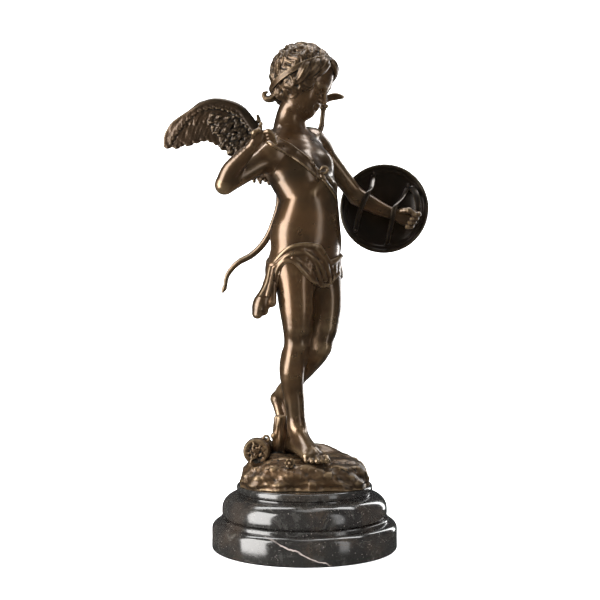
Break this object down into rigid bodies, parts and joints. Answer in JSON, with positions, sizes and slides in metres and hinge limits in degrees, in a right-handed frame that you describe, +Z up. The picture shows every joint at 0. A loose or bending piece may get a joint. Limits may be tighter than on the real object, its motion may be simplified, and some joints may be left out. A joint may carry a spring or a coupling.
{
  "type": "cupid statue",
  "caption": "Young winged cupid in cast bronze with bow, round shield and quiver, standing on a rocky ground over a turned black marble plinth.",
  "frame": {"origin": "middle of the plinth's underside", "axes": "+Z up through the figure, +X to the right of the front view, -Y towards the viewer of the front view"},
  "size_m": [0.2467, 0.2131, 0.4647],
  "materials": {
    "bronze": "cast bronze with a warm brown patina, darker in the hollows, waxed",
    "marble": "polished black marble with brown tints, fine pale specks and a thin pale vein"
  },
  "bodies": {
    "root": {"bronze_cupid": "bronze", "marble_plinth": "marble"}
  },
  "joints": []
}
